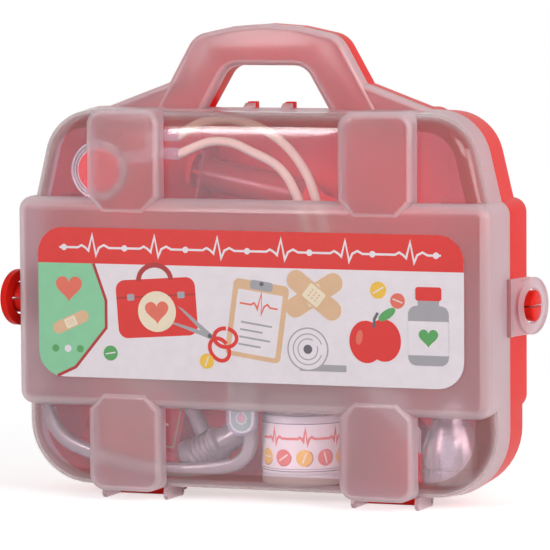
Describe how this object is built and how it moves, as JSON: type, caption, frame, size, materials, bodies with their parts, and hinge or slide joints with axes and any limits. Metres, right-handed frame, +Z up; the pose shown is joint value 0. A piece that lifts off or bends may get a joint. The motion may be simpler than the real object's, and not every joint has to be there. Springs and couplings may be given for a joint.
{
  "type": "toy doctor case",
  "caption": "Toy doctor case: translucent front lid hinged on a red rear shell, carry handle, ring clips, play instruments inside.",
  "frame": {"origin": "centre of the case at the level of its feet", "axes": "+X to the case's right as seen from the front, +Z up, the lid faces -Y"},
  "size_m": [0.3264, 0.082, 0.2855],
  "materials": {
    "red_plastic": "gloss",
    "frosted_plastic": "satin",
    "clear_plastic": "gloss",
    "grey_plastic": "satin",
    "white_plastic": "gloss",
    "green_plastic": "satin",
    "tube_vinyl": "satin",
    "printed_card": "satin",
    "carton_board": "matte",
    "steel_pin": "satin"
  },
  "bodies": {
    "root": {"rear_shell": "red_plastic", "shell_hinge_feet": "red_plastic", "hinge_pins": "steel_pin", "chest_piece": "grey_plastic", "chest_disc": "red_plastic", "tube_connector": "clear_plastic", "outer_tube": "tube_vinyl", "inner_tube": "tube_vinyl", "headset": "grey_plastic", "ear_tips": "grey_plastic", "pill_jar": "white_plastic", "jar_label": "printed_card", "plaster_carton": "carton_board", "thermometer_case": "clear_plastic", "thermometer_scale": "green_plastic", "syringe_barrel": "red_plastic", "syringe_tip": "red_plastic", "hammer_head": "grey_plastic", "hammer_handle": "grey_plastic", "otoscope_head": "grey_plastic", "otoscope_handle": "grey_plastic"},
    "lid": {"front_lid": "frosted_plastic", "lid_hinge_ears": "frosted_plastic", "label_card": "printed_card"},
    "clip_right": {"right_clip": "frosted_plastic"},
    "clip_left": {"left_clip": "red_plastic"},
    "jar_cap_body": {"jar_cap": "grey_plastic"},
    "plunger": {"syringe_plunger": "red_plastic"}
  },
  "joints": [
    {"name": "lid_open", "type": "hinge", "parent": "root", "child": "lid", "pos_m": [0, 0, 0.0029], "axis": [1, 0, 0], "range_deg": [0, 180]},
    {"name": "right_clip_flex", "type": "hinge", "parent": "lid", "child": "clip_right", "pos_m": [0.1515, 0.0003, 0.1195], "axis": [0, 0, -1], "range_deg": [0, 30], "stiffness_Nm_per_rad": 0.15},
    {"name": "left_clip_flex", "type": "hinge", "parent": "root", "child": "clip_left", "pos_m": [-0.1515, -0.0003, 0.1195], "axis": [0, 0, -1], "range_deg": [0, 30], "stiffness_Nm_per_rad": 0.15},
    {"name": "jar_cap_lift", "type": "slide", "parent": "root", "child": "jar_cap_body", "axis": [0, 0, 1], "range_m": [0, 0.01]},
    {"name": "plunger_travel", "type": "slide", "parent": "root", "child": "plunger", "axis": [-0.9796, 0, 0.2011], "range_m": [0, 0.03]}
  ]
}
